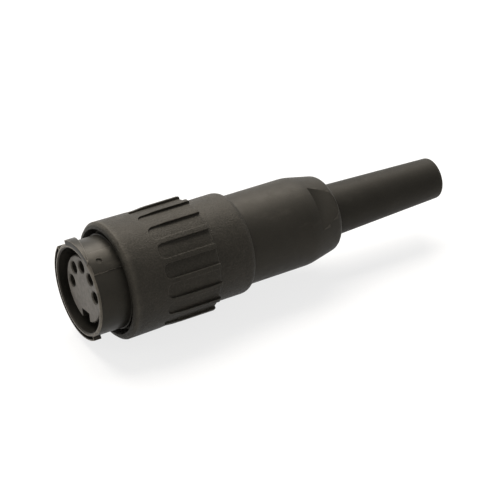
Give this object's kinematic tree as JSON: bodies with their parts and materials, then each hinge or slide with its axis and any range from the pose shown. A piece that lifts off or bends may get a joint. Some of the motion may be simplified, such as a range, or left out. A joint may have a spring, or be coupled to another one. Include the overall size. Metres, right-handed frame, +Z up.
{
  "type": "circular cable socket with bayonet locking ring",
  "caption": "Black plastic circular cable socket: bayonet sleeve with lugs, ribbed turning locking ring, recessed contact insert, tapered back shell with spanner flats and a bend-relief boot.",
  "frame": {"origin": "on the connector's axis, in the plane of the mating rim", "axes": "+X along the axis from the mating rim to the cable end, +Z up as it lies on two grip ribs"},
  "size_m": [0.0659, 0.0188, 0.0188],
  "materials": {
    "sleeve_plastic": "satin, smooth moulded",
    "ring_plastic": "matte, fine spark-eroded grain",
    "insert_plastic": "satin, smooth moulded",
    "shell_plastic": "satin, smooth moulded",
    "boot_rubber": "soft satin",
    "inner_plastic": "satin, hidden inside",
    "spring_steel": "bright spring steel",
    "plated_brass": "silver plated"
  },
  "bodies": {
    "connector_body": {"retaining_clip": "spring_steel", "spring_washer": "spring_steel", "core_tube": "inner_plastic", "contact_insert": "insert_plastic", "contact_1": "plated_brass", "contact_2": "plated_brass", "contact_3": "plated_brass", "contact_4": "plated_brass", "contact_5": "plated_brass", "contact_retainer": "inner_plastic", "distance_sleeve": "inner_plastic", "clamp_cage": "inner_plastic", "clamp_cone": "inner_plastic", "back_shell": "shell_plastic", "boot": "boot_rubber"},
    "coupling": {"bayonet_sleeve": "sleeve_plastic", "locking_ring": "ring_plastic"}
  },
  "joints": [
    {"name": "ring_turn", "type": "hinge", "parent": "connector_body", "child": "coupling", "pos_m": [0, 0, 0], "axis": [1, 0, 0], "range_deg": [0, 45]}
  ]
}
